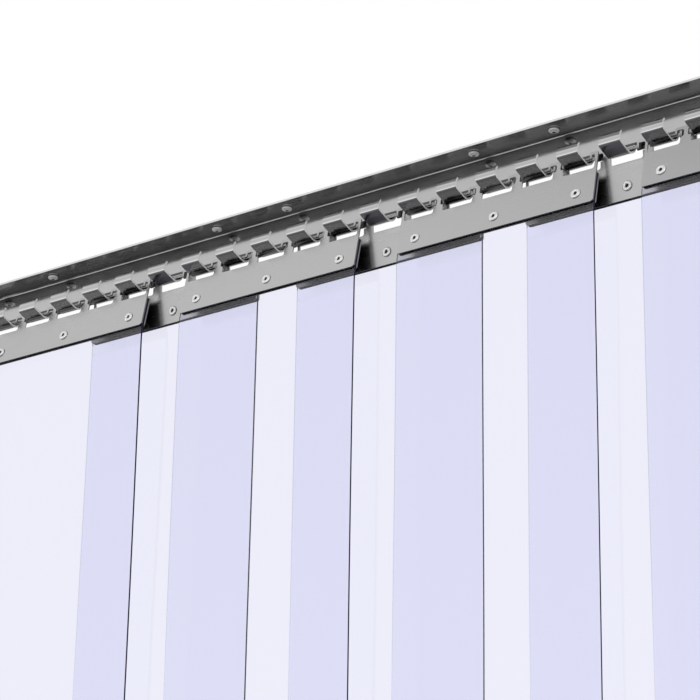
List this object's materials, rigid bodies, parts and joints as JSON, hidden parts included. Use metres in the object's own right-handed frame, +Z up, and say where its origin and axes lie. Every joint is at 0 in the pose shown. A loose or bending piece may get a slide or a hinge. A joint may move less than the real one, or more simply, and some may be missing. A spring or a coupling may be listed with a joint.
{
  "type": "strip curtain",
  "caption": "Doorway curtain of overlapping soft clear PVC strips, each riveted between steel clamp plates whose windows hang on a bent stainless hook rail.",
  "frame": {"origin": "on the top face of the rail's flange, the face screwed up against the lintel, half way along the rail and half way across the flange", "axes": "+X along the rail, to the right in the picture; -Y towards the side the picture shows, where the hooks' lips are; +Z up, out of the flange's top face"},
  "size_m": [1.025, 0.0292, 2.006],
  "materials": {
    "stainless_sheet": "smooth rolled stainless, softly reflecting, deburred punched edges",
    "screw_steel": "bright polished stainless",
    "rivet_steel": "bright drawn stainless",
    "clear_pvc": "clear soft PVC with a faint lavender tint, glossy"
  },
  "bodies": {
    "rail": {"hook_rail": "stainless_sheet", "rail_screw_1": "screw_steel", "rail_screw_2": "screw_steel", "rail_screw_3": "screw_steel", "rail_screw_4": "screw_steel", "rail_screw_5": "screw_steel", "rail_screw_6": "screw_steel", "rail_screw_7": "screw_steel", "rail_screw_8": "screw_steel"},
    "hanger_1": {"hook_plate_1": "stainless_sheet", "backing_plate_1": "stainless_sheet", "strip_1": "clear_pvc", "rivet_1_left": "rivet_steel", "rivet_1_middle": "rivet_steel", "rivet_1_right": "rivet_steel"},
    "hanger_2": {"hook_plate_2": "stainless_sheet", "backing_plate_2": "stainless_sheet", "strip_2": "clear_pvc", "rivet_2_left": "rivet_steel", "rivet_2_middle": "rivet_steel", "rivet_2_right": "rivet_steel"},
    "hanger_3": {"hook_plate_3": "stainless_sheet", "backing_plate_3": "stainless_sheet", "strip_3": "clear_pvc", "rivet_3_left": "rivet_steel", "rivet_3_middle": "rivet_steel", "rivet_3_right": "rivet_steel"},
    "hanger_4": {"hook_plate_4": "stainless_sheet", "backing_plate_4": "stainless_sheet", "strip_4": "clear_pvc", "rivet_4_left": "rivet_steel", "rivet_4_middle": "rivet_steel", "rivet_4_right": "rivet_steel"},
    "hanger_5": {"hook_plate_5": "stainless_sheet", "backing_plate_5": "stainless_sheet", "strip_5": "clear_pvc", "rivet_5_left": "rivet_steel", "rivet_5_middle": "rivet_steel", "rivet_5_right": "rivet_steel"},
    "hanger_6": {"hook_plate_6": "stainless_sheet", "backing_plate_6": "stainless_sheet", "strip_6": "clear_pvc", "rivet_6_left": "rivet_steel", "rivet_6_middle": "rivet_steel", "rivet_6_right": "rivet_steel"},
    "hanger_7": {"hook_plate_7": "stainless_sheet", "backing_plate_7": "stainless_sheet", "strip_7": "clear_pvc", "rivet_7_left": "rivet_steel", "rivet_7_middle": "rivet_steel", "rivet_7_right": "rivet_steel"}
  },
  "joints": [
    {"name": "hook_swing_1", "type": "hinge", "parent": "rail", "child": "hanger_1", "pos_m": [-0.3651, 0.0004, -0.03842], "axis": [-1, 0, 0], "range_deg": [0, 45]},
    {"name": "hook_swing_2", "type": "hinge", "parent": "rail", "child": "hanger_2", "pos_m": [-0.2421, 0.00875, -0.03531], "axis": [1, 0, 0], "range_deg": [0, 45]},
    {"name": "hook_swing_3", "type": "hinge", "parent": "rail", "child": "hanger_3", "pos_m": [-0.1191, 0.0004, -0.03842], "axis": [-1, 0, 0], "range_deg": [0, 45]},
    {"name": "hook_swing_4", "type": "hinge", "parent": "rail", "child": "hanger_4", "pos_m": [0.0039, 0.00875, -0.03531], "axis": [1, 0, 0], "range_deg": [0, 45]},
    {"name": "hook_swing_5", "type": "hinge", "parent": "rail", "child": "hanger_5", "pos_m": [0.1269, 0.0004, -0.03842], "axis": [-1, 0, 0], "range_deg": [0, 45]},
    {"name": "hook_swing_6", "type": "hinge", "parent": "rail", "child": "hanger_6", "pos_m": [0.2499, 0.00875, -0.03531], "axis": [1, 0, 0], "range_deg": [0, 45]},
    {"name": "hook_swing_7", "type": "hinge", "parent": "rail", "child": "hanger_7", "pos_m": [0.3729, 0.0004, -0.03842], "axis": [-1, 0, 0], "range_deg": [0, 45]}
  ]
}
